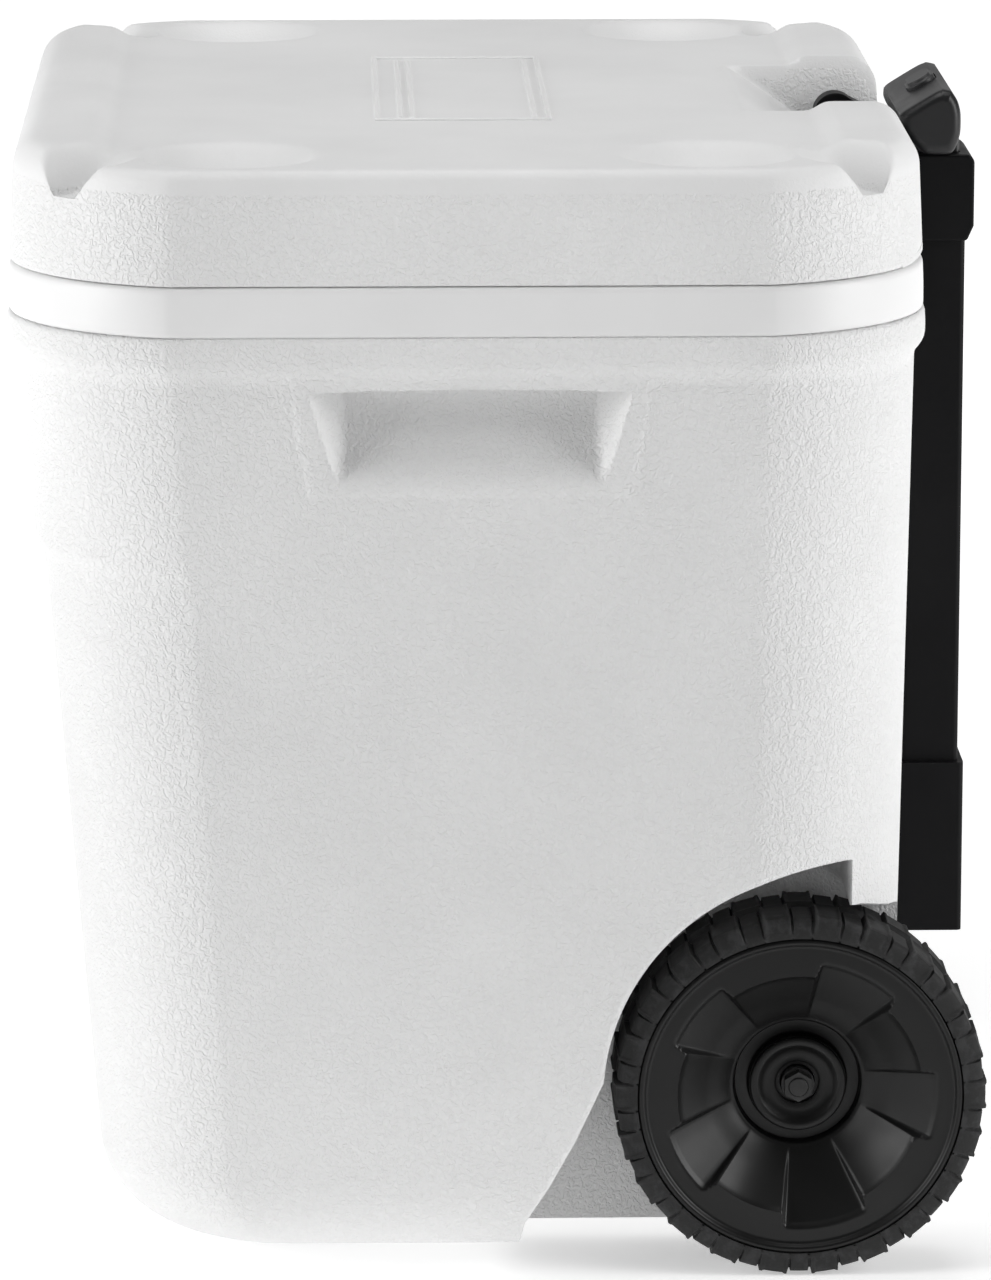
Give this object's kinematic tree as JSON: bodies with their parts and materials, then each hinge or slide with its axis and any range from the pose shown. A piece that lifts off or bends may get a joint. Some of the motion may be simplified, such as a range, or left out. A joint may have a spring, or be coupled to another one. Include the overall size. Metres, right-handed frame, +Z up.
{
  "type": "wheeled cooler",
  "caption": "Insulated chest cooler with a hinged lid, end hand-holds, rear wheels and a telescoping tow handle.",
  "frame": {"origin": "centre of the footprint on the floor", "axes": "+Z up, X along the cooler's length, +Y to the back where the wheels and handle are"},
  "size_m": [0.59, 0.503, 0.5833],
  "materials": {
    "shell_white": "pebbled matt",
    "smooth_white": "smooth satin",
    "foam": "porous insulation foam",
    "fitting_white": "satin",
    "seal_rubber": "matt",
    "tyre_black": "dusty matt",
    "wheel_black": "satin",
    "bearing_grey": "satin",
    "handle_black": "fine matt",
    "tube_metal": "satin black",
    "grip_black": "soft matt",
    "button_black": "satin",
    "steel": "zinc plated",
    "steel_black": "black oxide"
  },
  "bodies": {
    "body": {"body_shell": "shell_white", "body_foam": "foam", "liner": "smooth_white", "collar_frame": "smooth_white", "front_foot_left": "fitting_white", "front_foot_right": "fitting_white", "drain_spout": "fitting_white", "drain_washer": "seal_rubber", "drain_nut": "fitting_white", "axle": "steel_black", "axle_sleeve_left": "bearing_grey", "axle_sleeve_right": "bearing_grey", "axle_washer_left": "steel_black", "axle_washer_right": "steel_black", "axle_nut_left": "steel_black", "axle_nut_right": "steel_black", "outer_tube": "handle_black", "tube_collar": "handle_black", "tube_shoe": "handle_black", "shoe_screws": "steel", "hinge_bracket": "handle_black", "bracket_screws": "steel", "hinge_pin_left": "steel", "hinge_pin_right": "steel"},
    "drain_cap": {"drain_cap": "fitting_white", "drain_seal": "seal_rubber"},
    "wheel_left": {"tyre_left": "tyre_black", "wheel_disc_left": "wheel_black", "wheel_bushing_left": "bearing_grey", "hub_ring_left": "wheel_black"},
    "wheel_right": {"tyre_right": "tyre_black", "wheel_disc_right": "wheel_black", "wheel_bushing_right": "bearing_grey", "hub_ring_right": "wheel_black"},
    "handle": {"inner_tube": "tube_metal", "slide_plug": "bearing_grey", "latch_block": "bearing_grey", "spring_seat": "bearing_grey", "grip_front": "grip_black", "grip_back": "grip_black", "grip_screws": "steel"},
    "button": {"button": "button_black"},
    "push_rod": {"push_rod": "steel", "button_spring": "steel"},
    "latch_pin": {"latch_pin": "steel"},
    "lid": {"lid_shell": "shell_white", "lid_foam": "foam", "lid_liner": "smooth_white", "hinge_ear_left": "handle_black", "hinge_ear_right": "handle_black", "ear_screws": "steel", "lid_plaque": "smooth_white"}
  },
  "joints": [
    {"name": "lid_hinge", "type": "hinge", "parent": "body", "child": "lid", "pos_m": [0, 0.196, 0.545], "axis": [-1, 0, 0], "range_deg": [0, 84]},
    {"name": "handle_slide", "type": "slide", "parent": "body", "child": "handle", "axis": [0, 0, 1], "range_m": [0, 0.35]},
    {"name": "button_press", "type": "slide", "parent": "handle", "child": "button", "axis": [0, 0.5, -0.866], "range_m": [0, 0.0035], "stiffness_N_per_m": 400, "springref_m": -0.002},
    {"name": "rod_slide", "type": "slide", "parent": "handle", "child": "push_rod", "axis": [0, 0, -1], "range_m": [0, 0.0042], "deforming": ["button_spring"]},
    {"name": "latch_slide", "type": "slide", "parent": "handle", "child": "latch_pin", "axis": [-1, 0, 0], "range_m": [0, 0.0028]},
    {"name": "wheel_left_spin", "type": "hinge", "parent": "body", "child": "wheel_left", "pos_m": [-0.236, 0.148, 0.095], "axis": [1, 0, 0], "continuous": true},
    {"name": "wheel_right_spin", "type": "hinge", "parent": "body", "child": "wheel_right", "pos_m": [0.236, 0.148, 0.095], "axis": [1, 0, 0], "continuous": true},
    {"name": "drain_cap_turn", "type": "hinge", "parent": "body", "child": "drain_cap", "pos_m": [-0.28, -0.08, 0.0785], "axis": [-1, 0, 0], "range_deg": [0, 90]}
  ],
  "couplings": [
    {"joint": "rod_slide", "follows": "button_press", "ratio": 1.1547},
    {"joint": "latch_slide", "follows": "button_press", "ratio": 0.8}
  ]
}
